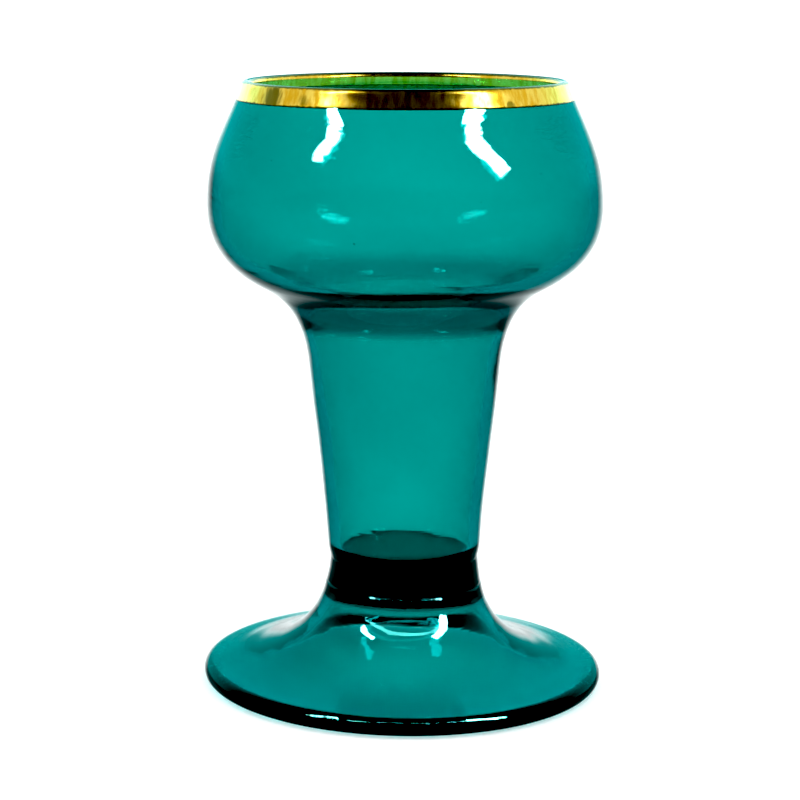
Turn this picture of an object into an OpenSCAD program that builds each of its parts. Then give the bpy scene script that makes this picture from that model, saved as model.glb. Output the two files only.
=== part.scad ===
// Roemer wine glass, hand blown: a globe bowl and its hollow stem in one gather, a solid
// joining post, a spread hollow foot, and a fired gold band on each face of the lip.
// The foot and the post are turned about the Z axis, and the foot stands on the plane z = 0.
// The bowl and stem are turned about an axis of their own, which leans a little on the foot.

/* [Heights] */
// Resting plane to the joint under the stem
foot_h = 27.3; // [26:0.1:30]
// Joint under the stem to the top of its straight wall
stem_h = 41.7; // [32:0.1:52]
// Top of the stem to the crest of the lip
bowl_h = 60.3; // [56:0.5:64]

/* [Setting] */
// Lean of the bowl and stem on the foot, towards -X, in degrees
lean = 0.9; // [0:0.1:1.5]

/* [Bowl] */
// Outer radius at the widest level
bowl_r = 41.7; // [40:0.05:43]
// Crest of the lip down to the widest level
bowl_drop = 25.7; // [23:0.1:28]
// Outer radius of the rounded lip
lip_r = 34.4; // [32:0.1:35]
// Glass thickness at the lip
lip_t = 2.1; // [1.6:0.1:2.6]
// Lean of the wall towards the mouth, just under the lip
lip_lean = 15.5; // [8:0.5:20]
// Glass thickness of the globe
bowl_wall = 2.3; // [1.8:0.1:2.8]
// Glass thickness at the throat, where the globe was pinched in
throat_wall = 4.3; // [3:0.1:4.4]

/* [Stem] */
// Outer radius at the top of the stem
stem_top_r = 20.4; // [19:0.1:21.5]
// Outer radius at the foot of the stem, above the crease
stem_base_r = 16.4; // [15.8:0.1:17]
// Outer radius in the crease where stem and post are joined
crease_r = 15.9; // [15:0.1:15.9]
// Glass thickness at the top of the stem
stem_top_wall = 2.6; // [2.4:0.05:3.2]
// Glass thickness at the foot of the stem
stem_wall = 2.45; // [2:0.05:3]
// Glass between the floor of the well and the joint
well_floor_t = 1.8; // [1.4:0.1:2.6]
// Rounding between the floor of the well and its wall
well_fillet = 1.5; // [1:0.1:3]

/* [Foot] */
// Outer radius of the foot
foot_r = 43.05; // [41:0.05:45]
// Thickness of the rounded edge of the foot
foot_edge_t = 4.2; // [3.5:0.1:4.8]
// Height of the solid joining post
post_h = 5.6; // [5:0.1:7]
// Solid glass between the post and the hollow under it
foot_crown_t = 2.4; // [2:0.1:3]
// Glass thickness of the flare
foot_wall = 2.7; // [2.3:0.1:3]
// Width of the flat ring that the glass rests on
rest_w = 1.6; // [1:0.1:2]

/* [Gilding] */
// Height of the gold band outside, down from the crest of the lip
gilt_out_h = 4; // [3:0.1:6]
// Height of the gold band inside, down from the crest of the lip
gilt_in_h = 2.9; // [1.4:0.1:3]
// Bare glass left along the crest, as an angle of its rounding
gilt_gap = 50; // [30:5:80]
// Thickness of the gold film
gilt_t = 0.08; // [0.05:0.01:0.15]

/* [Hidden] */
$fn = 180;

glass_colour = "teal";
dark_glass_colour = "darkslategray";
gold_colour = "gold";

// Draft of the stem in degrees, at its top and at its foot
stem_draft_top = 5.3;
stem_draft_low = 3.2;
// Where the stem starts to turn in to the crease, above the joint
crease_h = 3;
// The steepest point of the shoulder, out from the stem's top and up from it, and its direction
shoulder_out = 9.5;
shoulder_up = 17.2;
shoulder_dir = [0.89, 0.456];
// How far the handles of each curve reach
lip_pull = 7.8;
wide_pull_up = 12.3;
wide_pull_down = 9.8;
shoulder_pull_out = 7;
shoulder_pull_in = 8.7;
neck_pull = 5.3;
stem_pull = 0.3 * stem_h;
crease_pull_up = 1.4;
crease_pull_down = 1;
post_pull = 0.49 * foot_h;
edge_pull = 18;
crown_pull_in = 2.6;
crown_pull_out = 1.7;
underside_pull_in = 9;
underside_pull_out = 13;
// Fall of the foot's two faces at its edge, in degrees
edge_fall = 6;
underside_fall = 8;
// Width of the rounded corner of the crown, and the flare's height there below the crown
crown_round_w = 4.2;
crown_drop = 2.6;
// The throat's swelling, counted 0 to 1 down the lower globe and 1 to 2 down the neck
swell_from = 0.88;
swell_peak = 1.3;
swell_to = 1.62;
// Share of the upper globe over which the lip's thickness changes to the globe's
lip_blend = 0.25;
// Spare height of the post's blank over the joint, before its top is cut
post_blank_h = 2;

curve_steps = 18;
arc_steps = 8;
gilt_steps = 5;
halvings = 30;

stem_top_z = foot_h + stem_h;
crest_z = stem_top_z + bowl_h;
wide_z = crest_z - bowl_drop;
well_z = foot_h + well_floor_t;
post_z = foot_h - post_h;
hollow_z = post_z - foot_crown_t;

// A point of a cubic curve with the four control points c
function curve_at(c, t) =
    pow(1 - t, 3) * c[0] + 3 * t * pow(1 - t, 2) * c[1]
    + 3 * t * t * (1 - t) * c[2] + pow(t, 3) * c[3];

// The direction of that curve, as a unit vector
function curve_dir(c, t) =
    let (d = pow(1 - t, 2) * (c[1] - c[0]) + 2 * t * (1 - t) * (c[2] - c[1]) + t * t * (c[3] - c[2]))
    d / norm(d);

// The left-hand normal of the curve: towards the glass, for a curve that runs down the outside
function curve_inward(c, t) =
    let (d = curve_dir(c, t))
    [d[1], -d[0]];

// Points from t0 to t1 along a curve, moved inwards by a depth that runs from d0 to d1
function curve_points(c, t0, t1, n, d0 = 0, d1 = 0) =
    [for (i = [0 : n])
        let (t = t0 + (t1 - t0) * i / n)
        curve_at(c, t) + (d0 + (d1 - d0) * i / n) * curve_inward(c, t)];

// Where a falling curve reaches the height z, by halving
function t_at_height(c, z, lo = 0, hi = 1, n = halvings) =
    let (mid = (lo + hi) / 2)
    n == 0 ? mid
    : curve_at(c, mid)[1] > z ? t_at_height(c, z, mid, hi, n - 1)
    : t_at_height(c, z, lo, mid, n - 1);

// Points of an arc, from angle a0 to angle a1
function arc(centre, r, a0, a1, n = arc_steps) =
    [for (i = [0 : n])
        let (a = a0 + (a1 - a0) * i / n)
        centre + r * [cos(a), sin(a)]];

function tail(list) = [for (i = [1 : len(list) - 1]) list[i]];
function reverse(list) = [for (i = [len(list) - 1 : -1 : 0]) list[i]];

// Lip: a half-round bead that the wall runs into on both faces
lip_round = lip_t / 2;
lip_centre = [lip_r - lip_round, crest_z - lip_round];
lip_outer = lip_centre + lip_round * [cos(lip_lean), sin(lip_lean)];
lip_down = [sin(lip_lean), -cos(lip_lean)];

// Outer face, in four curves that run down from the lip and share their tangents
stem_top = [stem_top_r, stem_top_z];
stem_base = [stem_base_r, foot_h + crease_h];
stem_top_up = [sin(stem_draft_top), cos(stem_draft_top)];
stem_low_up = [sin(stem_draft_low), cos(stem_draft_low)];
shoulder = stem_top + [shoulder_out, shoulder_up];
globe_upper = [lip_outer, lip_outer + lip_pull * lip_down, [bowl_r, wide_z + wide_pull_up], [bowl_r, wide_z]];
globe_lower = [[bowl_r, wide_z], [bowl_r, wide_z - wide_pull_down],
               shoulder + shoulder_pull_out * shoulder_dir, shoulder];
neck = [shoulder, shoulder - shoulder_pull_in * shoulder_dir, stem_top + neck_pull * stem_top_up, stem_top];
stem_side = [stem_top, stem_top - stem_pull * stem_top_up, stem_base + stem_pull * stem_low_up, stem_base];
crease = [stem_base, stem_base - crease_pull_up * stem_low_up,
          [crease_r, foot_h] + crease_pull_down * stem_low_up, [crease_r, foot_h]];

// Glass thickness down the lower globe and the neck, with the swelling at the throat
function swelling(s) =
    s < swell_from ? 0
    : s < swell_peak ? (1 - cos(180 * (s - swell_from) / (swell_peak - swell_from))) / 2
    : s < swell_to ? (1 + cos(180 * (s - swell_peak) / (swell_to - swell_peak))) / 2
    : 0;
function lower_thickness(s) =
    let (plain = bowl_wall + (stem_top_wall - bowl_wall) * s / 2)
    plain + (throat_wall - plain) * swelling(s);
function inner_points(c, s0) =
    [for (i = [1 : curve_steps])
        let (t = i / curve_steps)
        curve_at(c, t) + lower_thickness(s0 + t) * curve_inward(c, t)];

// Inside of the stem, from its top down to the rounding of the well
well_r = stem_base_r - stem_wall;
stem_in_top = stem_top + stem_top_wall * curve_inward(neck, 1);
stem_in_base = [well_r, well_z + well_fillet];
stem_inside = [stem_in_top, stem_in_top - stem_pull * stem_top_up,
               stem_in_base + stem_pull * stem_low_up, stem_in_base];

// Outer face of the post and the flare: one curve from the crease to the edge of the foot
edge_round = foot_edge_t / 2;
edge_centre = [foot_r - edge_round, edge_round];
edge_top = edge_centre + edge_round * [sin(edge_fall), cos(edge_fall)];
flare = [[crease_r, foot_h], [crease_r + 1, foot_h - post_pull],
         edge_top + edge_pull * [-cos(edge_fall), sin(edge_fall)], edge_top];
t_post = t_at_height(flare, post_z);

// Underside of the foot: a flat crown, a rounded corner, and a face that follows the flare
t_crown = t_at_height(flare, hollow_z - crown_drop);
crown_corner = curve_at(flare, t_crown) + foot_wall * curve_inward(flare, t_crown);
crown_side = curve_dir(flare, t_crown);
crown_r = crown_corner[0] - crown_round_w;
rest_r = edge_centre[0] - rest_w;
underside_dir = [-cos(underside_fall), sin(underside_fall)];
crown_round = [[crown_r, hollow_z], [crown_r + crown_pull_in, hollow_z],
               crown_corner - crown_pull_out * crown_side, crown_corner];
underside = [crown_corner, crown_corner + underside_pull_in * crown_side,
             [rest_r, 0] + underside_pull_out * underside_dir, [rest_r, 0]];

// Gilding: where the outer band ends, and the angles that bound the bare crest
t_gilt = t_at_height(globe_upper, crest_z - gilt_out_h);
bare_from = 90 + lip_lean / 2 - gilt_gap / 2;
bare_to = 90 + lip_lean / 2 + gilt_gap / 2;

// Inner face of the globe from the lip down; its first stretch carries the inner gold band
function inside_thickness(t) = lip_t + (bowl_wall - lip_t) * min(1, t / lip_blend);
function globe_inside_at(t) = curve_at(globe_upper, t) + inside_thickness(t) * curve_inward(globe_upper, t);
function t_inside_at_height(z, lo = 0, hi = 1, n = halvings) =
    let (mid = (lo + hi) / 2)
    n == 0 ? mid
    : globe_inside_at(mid)[1] > z ? t_inside_at_height(z, mid, hi, n - 1)
    : t_inside_at_height(z, lo, mid, n - 1);
t_gilt_in = t_inside_at_height(crest_z - gilt_in_h);

gilt_face_out = curve_points(globe_upper, 0, t_gilt, gilt_steps);
gilt_face_in = [for (i = [0 : gilt_steps]) globe_inside_at(t_gilt_in * i / gilt_steps)];
globe_inside_rest = [for (i = [1 : curve_steps])
    globe_inside_at(t_gilt_in + (1 - t_gilt_in) * i / curve_steps)];

crest_out = arc(lip_centre, lip_round, lip_lean, bare_from);
crest_bare = arc(lip_centre, lip_round, bare_from, bare_to);
crest_in = arc(lip_centre, lip_round, bare_to, 180 + lip_lean);

// Tips its children about the centre of the joint between the stem and the post
module leaning() {
    translate([0, 0, foot_h])
        rotate([0, -lean, 0])
            translate([0, 0, -foot_h])
                children();
}

// The globe and the hollow stem, blown in one gather, with the closed floor of the well
module bowl_and_stem() {
    outside = concat(
        reverse(tail(crest_out)),
        curve_points(globe_upper, 0, t_gilt, gilt_steps),
        tail(curve_points(globe_upper, t_gilt, 1, curve_steps)),
        tail(curve_points(globe_lower, 0, 1, curve_steps)),
        tail(curve_points(neck, 0, 1, curve_steps)),
        tail(curve_points(stem_side, 0, 1, curve_steps)),
        tail(curve_points(crease, 0, 1, arc_steps))
    );
    inside = concat(
        tail(crest_bare),
        tail(crest_in),
        tail(gilt_face_in),
        globe_inside_rest,
        inner_points(globe_lower, 0),
        inner_points(neck, 1),
        tail(curve_points(stem_inside, 0, 1, curve_steps)),
        tail(arc([well_r - well_fillet, well_z + well_fillet], well_fillet, 0, -90))
    );
    color(glass_colour)
        leaning()
            rotate_extrude()
                polygon(concat([[0, foot_h]], reverse(outside), inside, [[0, well_z]]));
}

// The solid gather that joins the stem to the foot, cut off square to the leaning stem
module joining_post() {
    blank_z = foot_h + post_blank_h;
    side = curve_points(flare, 0, t_post, arc_steps);
    blank = concat([[0, blank_z], [crease_r, blank_z]], side, [[0, post_z]]);
    color(dark_glass_colour)
        difference() {
            rotate_extrude()
                polygon(blank);
            leaning()
                translate([-2 * crease_r, -2 * crease_r, foot_h])
                    cube([4 * crease_r, 4 * crease_r, 2 * post_blank_h]);
        }
}

// The spread foot, hollow underneath, with its thick rounded edge
module foot() {
    upper_face = curve_points(flare, t_post, 1, 2 * curve_steps);
    edge = arc(edge_centre, edge_round, 90 - edge_fall, -90, 2 * arc_steps);
    lower_face = reverse(concat(
        [[0, hollow_z]],
        curve_points(crown_round, 0, 1, arc_steps),
        tail(curve_points(underside, 0, 1, curve_steps))
    ));
    color(glass_colour)
        rotate_extrude()
            polygon(concat([[0, post_z]], upper_face, tail(edge), lower_face));
}

// A film laid on a face, whose points run with the glass on their left-hand side
module gilt_film(face, lifted) {
    color(gold_colour)
        leaning()
            rotate_extrude()
                polygon(concat(face, reverse(lifted)));
}

// Gold on the outer face of the lip, up to the bare crest
module gilt_band_outside() {
    gilt_film(
        concat(reverse(crest_out), tail(gilt_face_out)),
        concat(
            reverse(arc(lip_centre, lip_round + gilt_t, lip_lean, bare_from)),
            tail(curve_points(globe_upper, 0, t_gilt, gilt_steps, -gilt_t, -gilt_t))
        )
    );
}

// Gold on the inner face of the lip, down from the bare crest
module gilt_band_inside() {
    gilt_film(
        concat(crest_in, tail(gilt_face_in)),
        concat(
            arc(lip_centre, lip_round + gilt_t, bare_to, 180 + lip_lean),
            [for (i = [1 : gilt_steps])
                let (t = t_gilt_in * i / gilt_steps)
                globe_inside_at(t) + gilt_t * curve_inward(globe_upper, t)]
        )
    );
}

bowl_and_stem();
joining_post();
foot();
gilt_band_outside();
gilt_band_inside();
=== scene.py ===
"""Looks for the teal roemer wine glass: finely turned glass on the CAD outlines, and fired gold on the lip.

Each glass piece is turned again from the half section of its CAD node, much finer, with the slow waves of
hand work in its faces. Pieces that are fused on the real glass reach a hair into each other.
"""

import math

import bpy
import numpy as np
from mathutils import Matrix, Vector


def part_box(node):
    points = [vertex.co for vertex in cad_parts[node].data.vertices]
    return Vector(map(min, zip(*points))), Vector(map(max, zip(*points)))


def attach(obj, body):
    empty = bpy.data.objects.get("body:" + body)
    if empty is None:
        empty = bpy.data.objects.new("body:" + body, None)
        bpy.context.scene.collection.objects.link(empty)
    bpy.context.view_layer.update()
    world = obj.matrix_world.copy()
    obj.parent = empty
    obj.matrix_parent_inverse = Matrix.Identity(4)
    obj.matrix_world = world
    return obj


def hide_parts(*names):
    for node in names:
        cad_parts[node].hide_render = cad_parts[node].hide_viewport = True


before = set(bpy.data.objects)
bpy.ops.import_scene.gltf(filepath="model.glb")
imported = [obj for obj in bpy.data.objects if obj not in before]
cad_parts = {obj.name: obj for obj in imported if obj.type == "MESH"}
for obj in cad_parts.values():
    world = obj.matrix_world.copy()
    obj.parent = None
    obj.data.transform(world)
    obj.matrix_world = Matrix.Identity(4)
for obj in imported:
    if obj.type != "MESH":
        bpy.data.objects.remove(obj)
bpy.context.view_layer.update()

MM = 0.001
SLACK = 0.001 * MM            # for points that lie on a plane or at a height

# turning
STEP = 0.45 * MM              # spacing of the turned rings along an outline
CORNER = math.radians(30)     # a sharper turn than this in an outline stays a corner
AROUND = 240                  # facets round the glass
STILL_R = 8 * MM              # the waves fade out inside this radius
FUSED_BY = 0.02 * MM          # how far fused pieces reach into each other
JOINT_EASE = 16 * MM          # the bowl's waves grow over this height above the joint
LIP_PLAIN = 4.5 * MM          # the lip has none this far down from its crest
LIP_EASE = 9 * MM             # and they fade over this height below that
FOOT_EASE = 4 * MM            # the foot's waves fade over this height below the post
RIM_EASE = 2.5 * MM           # and over this height above the ground

# gold film
FILM_T = 0.06 * MM            # how proud of the glass it stands
FILM_SQUARE = 6               # how square its edges are
FILM_AROUND = 720             # facets round it
FILM_ROWS = 14                # rings over its face
FILM_REACH = 40               # rings of the bowl below the crest, more than a film covers
TOP_RAG, LOW_RAG = 0.03 * MM, 0.014 * MM    # size of the first wave in its uneven edges

# colours of the glass, which is coloured through, and of the gold
TEAL = (0.0, 0.735, 0.76, 1)
TEAL_DENSITY = 985            # per metre
CLEAR = (1, 1, 0.885, 1)
ASH = (0.05, 0.22, 0.2, 1)
TEAL_SHEEN = (0.15, 1, 1, 1)
DEEP_GOLD = (0.8, 0.48, 0.03, 1)
PALE_GOLD = (0.96, 0.72, 0.12, 1)
# rubbed gold, and painted shade along the lower edge of the film
RUBBED_AND_SHADE_GOLD = (0.1, 0.11, 0.012, 1)

# dark spots on the outer film: azimuth in degrees, height, reach, and how dark
DARK_SPOT_R = 34.5 * MM
DARK_SPOTS = (
    (-51, 125.9 * MM, 3.4 * MM, 0.9),
    (-37, 125.9 * MM, 1.8 * MM, 0.7),
    (34, 125.9 * MM, 1.2 * MM, 0.7),
)

# room, lamps and camera
WHITE = 1.25                  # the room's brightness
DARK = 0.05                   # what reflections see of it, away from the back wall
WALL_DOWN = 10                # degrees below level to the middle of the back wall
FAR_TINT = (0.03, 1, 0.97, 1)
PAPER = (0.9, 0.9, 0.9, 1)
PAPER_GLOW = 0.28             # well away from the glass; it fades to none under the glass, a painted shadow
LAMP_AIM = Vector((0, 0, 90 * MM))
LAMP_DISTANCE = 0.8
LENS = 105.93
CAMERA_AT = (-0.0015, -0.49533, 0.15583)
CAMERA_DOWN = 10.8125         # degrees
CAMERA_ROLL = 1.05
BLACK_LEVEL = 0.018


# ---------------------------------------------------------------- outlines, read from the frame

def underside(node):
    """Centre and upward normal of a node's flat underside."""
    flat = [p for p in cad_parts[node].data.polygons if p.normal.z < -0.99]
    area = sum(p.area for p in flat)
    centre = sum((p.center * p.area for p in flat), Vector()) / area
    return centre, -sum((p.normal * p.area for p in flat), Vector()).normalized()


def turning_frame(node):
    """The frame a node was turned in: Z runs up through the centre of its flat underside."""
    centre, up = underside(node)
    tilt = Vector((0, 0, 1)).rotation_difference(up).to_matrix().to_4x4()
    return Matrix.Translation(centre) @ tilt @ Matrix.Translation(-centre)


def half_section(node, turning):
    """The (radius, height) points of a turned node's half section, in order, from its lowest end."""
    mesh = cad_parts[node].data
    to_local = turning.inverted()
    spots, keys = {}, []
    for vertex in mesh.vertices:
        x, y, z = to_local @ vertex.co
        on_section = abs(y) < SLACK and x > -SLACK
        key = (round(x / MM, 3), round(z / MM, 3)) if on_section else None
        keys.append(key)
        if key:
            spots[key] = (x, z)
    linked = {key: set() for key in spots}
    for edge in mesh.edges:
        a, b = (keys[i] for i in edge.vertices)
        if a and b and a != b:
            linked[a].add(b)
            linked[b].add(a)
    ends = [key for key in spots if len(linked[key]) == 1]
    here = min(ends or spots, key=lambda key: key[1])
    path, seen = [], set()
    while here:
        path.append(spots[here])
        seen.add(here)
        here = next((key for key in sorted(linked[here]) if key not in seen), None)
    return path


def resampled(points):
    """A smooth curve near the points, as a cubic B-spline that keeps its ends and its sharp corners."""
    p = np.array(points)
    runs = [[0]]
    for i in range(1, len(p) - 1):
        a, b = p[i] - p[i - 1], p[i + 1] - p[i]
        runs[-1].append(i)
        if math.acos(np.clip(a @ b / (np.linalg.norm(a) * np.linalg.norm(b)), -1, 1)) > CORNER:
            runs.append([i])
    runs[-1].append(len(p) - 1)
    out = [p[0]]
    for run in runs:
        q = p[run]
        q = np.vstack([2 * q[0] - q[1], q, 2 * q[-1] - q[-2]])
        for a, b, c, d in zip(q, q[1:], q[2:], q[3:]):
            pieces = max(1, round(np.linalg.norm(c - b) / STEP))
            for t in np.arange(1, pieces + 1) / pieces:
                out.append(((1 - t) ** 3 * a + (3 * t ** 3 - 6 * t ** 2 + 4) * b
                            + (-3 * t ** 3 + 3 * t ** 2 + 3 * t + 1) * c + t ** 3 * d) / 6)
    return np.array(out)


def lengths(line):
    return np.r_[0, np.cumsum(np.linalg.norm(np.diff(line, axis=0), axis=1))]


def outward(line):
    """Unit normals of a line that runs anticlockwise round its glass."""
    ahead = np.gradient(line, axis=0)
    ahead /= np.linalg.norm(ahead, axis=1)[:, None] + 1e-12
    return np.c_[ahead[:, 1], -ahead[:, 0]]


def anticlockwise(line):
    x, y = line[:, 0], line[:, 1]
    return line if np.sum(x * np.roll(y, -1) - np.roll(x, -1) * y) > 0 else line[::-1]


# ---------------------------------------------------------------- turning

def ease(x):
    x = np.clip(x, 0, 1)
    return x * x * (3 - 2 * x)


class Waves:
    """Slow waves over a turned face: each has a size in mm, lobes around, and a pitch in mm along it."""

    def __init__(self, seed, *terms):
        rng = np.random.default_rng(seed)
        self.terms = [(size * MM, lobes, pitch * MM, rng.uniform(0, 2 * math.pi))
                      for size, lobes, pitch in terms]

    def __call__(self, angle, along):
        return sum(size * np.sin(lobes * angle + 2 * math.pi * along / pitch + phase)
                   for size, lobes, pitch, phase in self.terms)


def mesh_piece(name, rings, place, closed, tips=()):
    """A piece from rings of points. Its ends are closed by the tips, or the last ring meets the first."""
    rows, around = len(rings), len(rings[0])
    verts = [place(Vector(v)) for ring in rings for v in ring]
    faces = []
    for i in range(rows if closed else rows - 1):
        low, up = i * around, (i + 1) % rows * around
        for j in range(around):
            k = (j + 1) % around
            faces.append((low + j, low + k, up + k, up + j))
    for row, tip in zip((0, rows - 1), tips):
        verts.append(place(Vector(tip)))
        for j in range(around):
            a, b = row * around + j, row * around + (j + 1) % around
            faces.append((len(verts) - 1, a, b) if row else (len(verts) - 1, b, a))
    mesh = bpy.data.meshes.new(name)
    mesh.from_pydata(verts, [], faces)
    mesh.shade_smooth()
    piece = bpy.data.objects.new(name, mesh)
    bpy.context.collection.objects.link(piece)
    return piece


def turned(name, line, place, relief):
    """Turns a line that runs from axis to axis. The relief moves its faces out, less near the axis."""
    line = anticlockwise(line)
    along, normal = lengths(line), outward(line)
    angle = np.linspace(0, 2 * math.pi, AROUND, endpoint=False)
    shift = relief(angle[None, :], along[:, None], line) * ease(line[:, 0] / STILL_R)[:, None]
    radius = line[:, 0, None] + shift * normal[:, 0, None]
    height = line[:, 1, None] + shift * normal[:, 1, None]
    rings = np.stack([radius * np.cos(angle), radius * np.sin(angle), height], axis=-1)[1:-1]
    return mesh_piece(name, rings, place, False, [(0, 0, line[0, 1]), (0, 0, line[-1, 1])])


# ---------------------------------------------------------------- shader helpers

def new_material(name):
    material = bpy.data.materials.new(name)
    material.use_nodes = True
    return material, material.node_tree, material.node_tree.nodes["Principled BSDF"]


def feed(tree, socket, value):
    if isinstance(value, bpy.types.NodeSocket):
        tree.links.new(value, socket)
    else:
        socket.default_value = value


def sums(tree, operation, *values, clamp=False):
    made = tree.nodes.new("ShaderNodeMath")
    made.operation = operation
    made.use_clamp = clamp
    for socket, value in zip(made.inputs, values):
        feed(tree, socket, value)
    return made.outputs[0]


def times(tree, a, b):
    return sums(tree, "MULTIPLY", a, b)


def vector_sums(tree, operation, a, b, output="Vector"):
    made = tree.nodes.new("ShaderNodeVectorMath")
    made.operation = operation
    feed(tree, made.inputs[0], a)
    feed(tree, made.inputs[1], b)
    return made.outputs[output]


def spread(tree, value, low, high, to_low=0.0, to_high=1.0):
    """Eases from to_low to to_high while the value goes from low to high."""
    made = tree.nodes.new("ShaderNodeMapRange")
    made.interpolation_type = "SMOOTHSTEP"
    ends = {"Value": value, "From Min": low, "From Max": high, "To Min": to_low, "To Max": to_high}
    for key, end in ends.items():
        feed(tree, made.inputs[key], end)
    return made.outputs["Result"]


def blend(tree, amount, a, b):
    made = tree.nodes.new("ShaderNodeMix")
    made.data_type = "RGBA"
    feed(tree, made.inputs["Factor"], amount)
    feed(tree, made.inputs["A"], a)
    feed(tree, made.inputs["B"], b)
    return next(s for s in made.outputs if s.type == "RGBA")


def position(tree):
    return tree.nodes.new("ShaderNodeNewGeometry").outputs["Position"]


def upright_part(tree, vector):
    made = tree.nodes.new("ShaderNodeSeparateXYZ")
    tree.links.new(vector, made.inputs[0])
    return made.outputs["Z"]


def noise(tree, scale, detail=3.0, seed=0.0):
    """Noise with its own scale, per metre, along each axis."""
    made = tree.nodes.new("ShaderNodeTexNoise")
    made.noise_dimensions = "4D"
    tree.links.new(vector_sums(tree, "MULTIPLY", position(tree), scale), made.inputs["Vector"])
    made.inputs["Scale"].default_value = 1.0
    made.inputs["Detail"].default_value = detail
    made.inputs["W"].default_value = seed
    return made.outputs["Fac"]


def bump(tree, bsdf, height, depth):
    made = tree.nodes.new("ShaderNodeBump")
    made.inputs["Distance"].default_value = depth
    feed(tree, made.inputs["Height"], height)
    tree.links.new(made.outputs["Normal"], bsdf.inputs["Normal"])


# ---------------------------------------------------------------- materials

def teal_glass():
    """Glass coloured through: its red is gone within a millimetre, and its green and blue fade slowly."""
    material, tree, bsdf = new_material("teal_glass")
    bsdf.inputs["IOR"].default_value = 1.5
    bsdf.inputs["Transmission Weight"].default_value = 1.0
    bsdf.inputs["Specular Tint"].default_value = TEAL_SHEEN

    # specks of ash and seed in the surface, and the ground-in wear where the foot rests
    specks = tree.nodes.new("ShaderNodeTexVoronoi")
    tree.links.new(position(tree), specks.inputs["Vector"])
    specks.inputs["Scale"].default_value = 120
    speck = spread(tree, specks.outputs["Distance"], 0.018, 0.034, 1, 0)
    near_ground = spread(tree, upright_part(tree, position(tree)), 0.05 * MM, 0.3 * MM, 1, 0)
    scuffed = times(tree, near_ground, spread(tree, noise(tree, (1500, 1500, 1500)), 0.4, 0.65))
    tree.links.new(blend(tree, speck, CLEAR, ASH), bsdf.inputs["Base Color"])
    rough = sums(tree, "ADD", times(tree, speck, 0.3), times(tree, scuffed, 0.35), clamp=True)
    tree.links.new(rough, bsdf.inputs["Roughness"])

    # turning lines: fine along the height, long around
    bump(tree, bsdf, noise(tree, (70, 70, 900), 2.0, 3.0), 0.03 * MM)

    absorb = tree.nodes.new("ShaderNodeVolumeAbsorption")
    absorb.inputs["Density"].default_value = TEAL_DENSITY
    absorb.inputs["Color"].default_value = TEAL
    tree.links.new(absorb.outputs["Volume"], tree.nodes["Material Output"].inputs["Volume"])
    return material


def fired_gold():
    """Gold fired on in a thin coat: streaked by the brush, rubbed dark along its top edge, dark in a few
    spots, and with a painted shade line along its lower edge.
    """
    material, tree, bsdf = new_material("fired_gold")
    bsdf.inputs["Metallic"].default_value = 1.0
    brushed = noise(tree, (900, 900, 90), 4.0, 1.0)
    cloudy = noise(tree, (140, 140, 140), 3.0, 5.0)

    # rubbed along the top edge of the film, and a painted shade line along its lower edge, both ragged
    across = tree.nodes.new("ShaderNodeAttribute")
    across.attribute_name = "across"
    fine = noise(tree, (1300, 1300, 1300), 3.0, 9.0)
    ragged = times(tree, sums(tree, "SUBTRACT", fine, 0.5), 0.16)
    edge = sums(tree, "ADD", across.outputs["Fac"], ragged)
    top_edge = spread(tree, edge, 0.17, 0.25, 1, 0)
    # painted shade along the lower edge of the film
    low_edge_painted_shade = spread(tree, edge, 0.9, 0.95, 0, 1)
    dark = sums(tree, "MAXIMUM", top_edge, low_edge_painted_shade)

    # rubbed here and there, and dark in a few spots
    worn = times(tree, spread(tree, cloudy, 0.64, 0.72), spread(tree, brushed, 0.45, 0.6))
    dark = sums(tree, "MAXIMUM", dark, times(tree, worn, 0.8))
    for azimuth, height, reach, depth in DARK_SPOTS:
        turn = math.radians(azimuth)
        spot = (DARK_SPOT_R * math.sin(turn), -DARK_SPOT_R * math.cos(turn), height)
        away = vector_sums(tree, "DISTANCE", position(tree), spot, "Value")
        frayed = sums(tree, "ADD", away, times(tree, brushed, reach))
        dark = sums(tree, "MAXIMUM", dark, spread(tree, frayed, 1.2 * reach, 1.7 * reach, depth, 0))

    rich = blend(tree, spread(tree, brushed, 0.35, 0.65), DEEP_GOLD, PALE_GOLD)
    # the dark colour stands for rubbed gold, and for painted shade along the film's lower edge
    tree.links.new(blend(tree, dark, rich, RUBBED_AND_SHADE_GOLD), bsdf.inputs["Base Color"])
    tree.links.new(spread(tree, brushed, 0.2, 0.8, 0.12, 0.2), bsdf.inputs["Roughness"])
    bump(tree, bsdf, brushed, 0.005 * MM)
    return material


# ---------------------------------------------------------------- the glass

glass = teal_glass()
gold = fired_gold()
leaning = turning_frame("bowl_and_stem")
upright = Matrix.Identity(4)
joint_z = underside("bowl_and_stem")[0].z
bowl_line = half_section("bowl_and_stem", leaning)
post_line = half_section("joining_post", upright)
foot_line = half_section("foot", upright)
post_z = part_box("joining_post")[0][2]
crest_z = max(z for r, z in bowl_line)


def on_axis(line):
    """The line with each end carried square to the axis."""
    return [(0, line[0][1])] + list(line) + [(0, line[-1][1])]


def lean_above_joint(point):
    """The post stands upright at its base, and leans with the stem from 1 mm below its top."""
    share = ease((point.z - post_z) / (joint_z - 1 * MM - post_z))
    return point.lerp(leaning @ point, float(share))


# a pitch below zero winds the other way
bowl_waves = Waves(3, (0.06, 2, 70), (0.045, 3, -48), (0.022, 5, 27), (0.012, 4, -15), (0.005, 9, 9),
                   (0.003, 3, 5.5))
foot_waves = Waves(8, (0.05, 2, 60), (0.03, 3, -35), (0.012, 5, 17), (0.016, 1, 5.6), (0.008, 3, -4.1))


def bowl_relief(angle, along, line):
    height = line[:, 1, None]
    waves = bowl_waves(angle, along) * ease((height - joint_z) / JOINT_EASE)
    return waves * ease((crest_z - LIP_PLAIN - height) / LIP_EASE)


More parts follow.
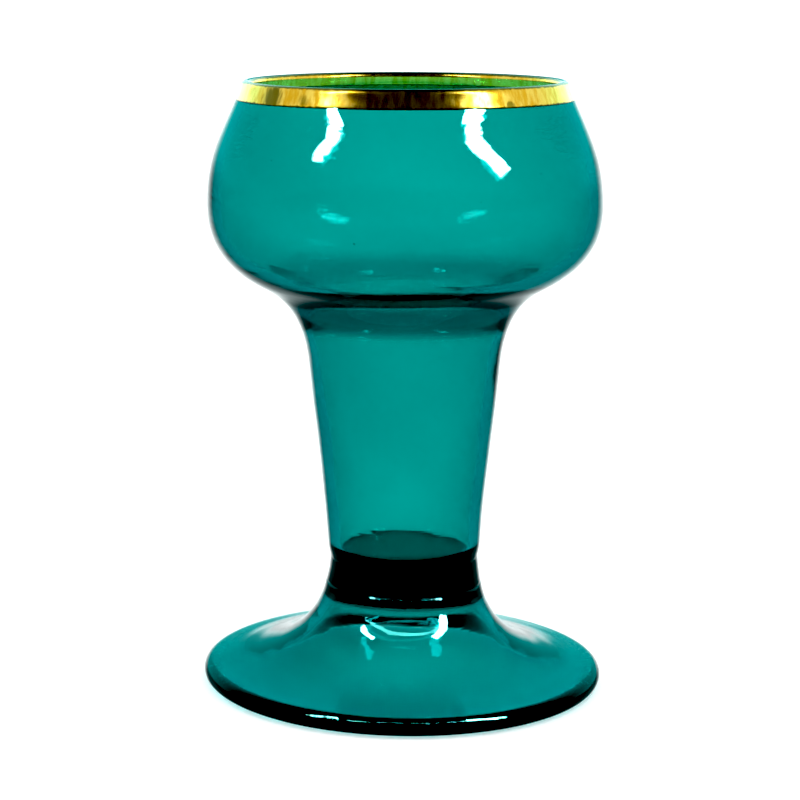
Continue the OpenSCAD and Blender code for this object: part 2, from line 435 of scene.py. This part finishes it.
def foot_relief(angle, along, line):
    height = line[:, 1, None]
    return foot_waves(angle, along) * ease((post_z - height) / FOOT_EASE) * ease(height / RIM_EASE)


def no_relief(angle, along, line):
    return np.zeros(np.broadcast(angle, along).shape)


def add_glass(name, node, line, place, relief):
    piece = turned(name, line, place, relief)
    piece.data.materials.append(glass)
    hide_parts(node)
    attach(piece, "root")
    return piece


# the bowl and stem reach down into the post, and the foot reaches up into it
bowl_line = [(r, z - FUSED_BY if z < joint_z + SLACK else z) for r, z in bowl_line]
foot_line = [(r, z + FUSED_BY if z > post_z - SLACK else z) for r, z in foot_line]
bowl_full, post_full, foot_full = (anticlockwise(resampled(on_axis(line)))
                                   for line in (bowl_line, post_line, foot_line))
glass_bowl = add_glass("glass_bowl_and_stem", "bowl_and_stem", bowl_full, leaning.__matmul__, bowl_relief)
glass_post = add_glass("glass_post", "joining_post", post_full, lean_above_joint, no_relief)
glass_foot = add_glass("glass_foot", "foot", foot_full, upright.__matmul__, foot_relief)


# ---------------------------------------------------------------- the gold

def ragged_edge(seed, size, low, high):
    """An uneven edge all round: a sum of waves, weaker as they get finer."""
    rng = np.random.default_rng(seed)
    angle = np.linspace(0, 2 * math.pi, FILM_AROUND, endpoint=False)
    lobes = np.arange(low, high)
    waves = np.sin(lobes[:, None] * angle + rng.uniform(0, 2 * math.pi, len(lobes))[:, None])
    return size * (waves / lobes[:, None] ** 0.7).sum(axis=0)


def add_gold(name, node, outside, top_seed, low_seed):
    """A film on one face of the lip. Its inner side and its edges lie a little way into the glass."""
    crest = int(np.argmax(bowl_full[:, 1]))
    face = bowl_full[crest::-1] if outside else bowl_full[crest:]
    normal = outward(face) * (-1 if outside else 1)
    along = lengths(face)

    # the two edges, as lengths down the face from the crest
    band = np.array(half_section(node, leaning))
    down, so_far = -face[:FILM_REACH, 1], along[:FILM_REACH]
    top = np.interp(-band[:, 1].max(), down, so_far) + ragged_edge(top_seed, TOP_RAG, 5, 160)
    low = np.interp(-band[:, 1].min(), down, so_far) + ragged_edge(low_seed, LOW_RAG, 2, 90)

    # each ring lies at a share of the way across, and is lifted off the face
    shares = np.linspace(0, 1, FILM_ROWS)
    sunk = abs(2 * shares - 1) ** FILM_SQUARE
    stops = list(zip(shares, FILM_T * (1 - sunk) - FUSED_BY * sunk))
    stops += [(share, -2 * FUSED_BY) for share in shares[::-1]]
    if outside:
        stops.reverse()
    angle = np.linspace(0, 2 * math.pi, FILM_AROUND, endpoint=False)
    rings = []
    for share, lift in stops:
        s = top + share * (low - top)
        radius = np.interp(s, along, face[:, 0]) + lift * np.interp(s, along, normal[:, 0])
        height = np.interp(s, along, face[:, 1]) + lift * np.interp(s, along, normal[:, 1])
        rings.append(np.stack([radius * np.cos(angle), radius * np.sin(angle), height], axis=-1))

    piece = mesh_piece(name, rings, leaning.__matmul__, True)
    mark = piece.data.attributes.new("across", "FLOAT", "POINT")
    mark.data.foreach_set("value", np.repeat([share for share, _ in stops], FILM_AROUND))
    piece.data.materials.append(gold)
    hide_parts(node)
    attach(piece, "root")
    return piece


gold_outside = add_gold("gold_band_outside", "gilt_band_outside", True, 21, 22)
gold_inside = add_gold("gold_band_inside", "gilt_band_inside", False, 23, 24)


# ---------------------------------------------------------------- studio

def add_floor(reach, drop, facets):
    """White paper whose glow fades under the glass, a painted shadow. Reflections pass it by and see the
    room.
    """
    paper, tree, bsdf = new_material("white_paper")
    bsdf.inputs["Base Color"].default_value = PAPER
    bsdf.inputs["Roughness"].default_value = 1.0
    bsdf.inputs["Specular IOR Level"].default_value = 0.0
    bsdf.inputs["Emission Color"].default_value = (1, 1, 1, 1)
    # painted shadow: the paper's glow fades to none under the glass
    from_centre = vector_sums(tree, "DISTANCE", position(tree), (0, 0, 0), "Value")
    glow_with_painted_shadow = spread(tree, from_centre, 18 * MM, 46 * MM, 0.0, PAPER_GLOW)
    tree.links.new(glow_with_painted_shadow, bsdf.inputs["Emission Strength"])

    angle = np.linspace(0, 2 * math.pi, facets, endpoint=False)
    corners = [(reach * math.cos(a), reach * math.sin(a), 0) for a in angle]
    mesh = bpy.data.meshes.new("floor")
    mesh.from_pydata(corners, [], [tuple(range(facets))])
    mesh.materials.append(paper)
    floor = bpy.data.objects.new("floor", mesh)
    bpy.context.collection.objects.link(floor)
    floor.location.z = -drop
    floor.visible_glossy = False


def direction(azimuth, elevation):
    """Azimuth 0 is the camera's side, towards -Y, and grows towards +X."""
    a, e = math.radians(azimuth), math.radians(elevation)
    return Vector((math.sin(a) * math.cos(e), -math.cos(a) * math.cos(e), math.sin(e)))


def add_room(scene):
    """A white room. Reflections see only its back wall, and a faint tint on the far side."""
    scene.world = bpy.data.worlds.new("studio")
    scene.world.use_nodes = True
    room = scene.world.node_tree
    white = room.nodes["Background"]
    white.inputs["Color"].default_value = (1, 1, 1, 1)

    way = room.nodes.new("ShaderNodeTexCoord").outputs["Generated"]
    height = upright_part(room, way)
    facing = vector_sums(room, "DOT_PRODUCT", way, -direction(0, WALL_DOWN), "Value")

    # the glossy flag is set for refracted light too, so that share is taken off
    ray = room.nodes.new("ShaderNodeLightPath")
    through = ray.outputs["Is Transmission Ray"]
    reflected = sums(room, "MAXIMUM", sums(room, "SUBTRACT", ray.outputs["Is Glossy Ray"], through), 0.0)
    straight = sums(room, "SUBTRACT", 1.0, sums(room, "ADD", reflected, through))

    # seen in reflections: the back wall, from the table's edge up to eye level
    back_wall = spread(room, facing, 0.84, 0.975, DARK, WHITE)
    below_eyes = spread(room, height, 0.13, 0.0, 0.06, 1.0)
    above_table = spread(room, height, -0.45, -0.22, 0.45, 1.0)
    mirrored = times(room, back_wall, times(room, below_eyes, above_table))

    # seen through the glass: the half of the room behind it
    behind = spread(room, facing, -0.3, 0.3, 0.04, WHITE)
    seen = sums(room, "ADD", times(room, reflected, mirrored), times(room, through, behind))
    strength = sums(room, "ADD", seen, times(room, straight, WHITE))
    room.links.new(strength, white.inputs["Strength"])

    # the tint, mostly above the table
    tinted = room.nodes.new("ShaderNodeBackground")
    tinted.inputs["Color"].default_value = FAR_TINT
    far_side = spread(room, facing, 0.1, 0.85, 0, 0.8)
    above = spread(room, height, -0.05, 0.1, 0.12, 1.0)
    room.links.new(times(room, reflected, times(room, far_side, above)), tinted.inputs["Strength"])

    both = room.nodes.new("ShaderNodeAddShader")
    room.links.new(white.outputs[0], both.inputs[0])
    room.links.new(tinted.outputs[0], both.inputs[1])
    room.links.new(both.outputs[0], room.nodes["World Output"].inputs["Surface"])


def lit_together(name, pieces):
    group = bpy.data.collections.new(name)
    for piece in pieces:
        group.objects.link(piece)
    return group


def softbox(name, lights, azimuth, elevation, width, height, radiance, roll=0):
    """A lamp that shows in reflections on the pieces it lights. Width, height and roll are angles."""
    data = bpy.data.lights.new(name, "AREA")
    data.shape = "RECTANGLE"
    data.size = 2 * LAMP_DISTANCE * math.tan(math.radians(width / 2))
    data.size_y = 2 * LAMP_DISTANCE * math.tan(math.radians(height / 2))
    data.energy = radiance * math.pi * data.size * data.size_y
    lamp = bpy.data.objects.new(name, data)
    bpy.context.collection.objects.link(lamp)
    way = direction(azimuth, elevation)
    lamp.location = LAMP_AIM + way * LAMP_DISTANCE
    lamp.rotation_euler = (way.to_track_quat("Z", "Y").to_matrix()
                           @ Matrix.Rotation(math.radians(roll), 3, "Z")).to_euler()
    lamp.visible_camera = False
    lamp.visible_diffuse = False
    lamp.light_linking.receiver_collection = lights


def add_camera(scene):
    lens = bpy.data.cameras.new("camera")
    lens.lens = LENS
    lens.sensor_width = 36
    lens.clip_start = 0.01
    camera = bpy.data.objects.new("camera", lens)
    bpy.context.collection.objects.link(camera)
    camera.location = CAMERA_AT
    camera.rotation_euler = (Matrix.Rotation(math.radians(90 - CAMERA_DOWN), 3, "X")
                             @ Matrix.Rotation(math.radians(CAMERA_ROLL), 3, "Z")).to_euler()
    scene.camera = camera


scene = bpy.context.scene
add_floor(reach=5.0, drop=0.2 * MM, facets=64)
add_room(scene)

vitreous = lit_together("vitreous", (glass_bowl, glass_post, glass_foot))
gilded = lit_together("gilded", (gold_outside, gold_inside))
footed = lit_together("footed", (glass_foot,))
for lights, radiance in ((vitreous, 300), (gilded, 14)):
    softbox("softbox_left", lights, -53, 38.5, width=5.5, height=21, radiance=radiance, roll=-26)
    softbox("softbox_right", lights, 54.5, 33, width=9, height=27, radiance=radiance, roll=26)
softbox("strip", footed, 5, 40, width=105, height=4, radiance=20)
softbox("panel_left", gilded, -104, 30, width=104, height=80, radiance=0.82)
softbox("panel_right", gilded, 104, 30, width=104, height=80, radiance=0.9)
softbox("panel_back", gilded, 180, 14, width=90, height=30, radiance=1.0)
add_camera(scene)

scene.view_settings.view_transform = "Standard"
scene.view_settings.use_curve_mapping = True
scene.view_settings.curve_mapping.black_level = (BLACK_LEVEL, BLACK_LEVEL, BLACK_LEVEL)
scene.view_settings.curve_mapping.update()

# light crosses many faces of glass before it is out
scene.cycles.max_bounces = 32
scene.cycles.transmission_bounces = 32
scene.cycles.glossy_bounces = 16
scene.cycles.diffuse_bounces = 4
scene.cycles.transparent_max_bounces = 16
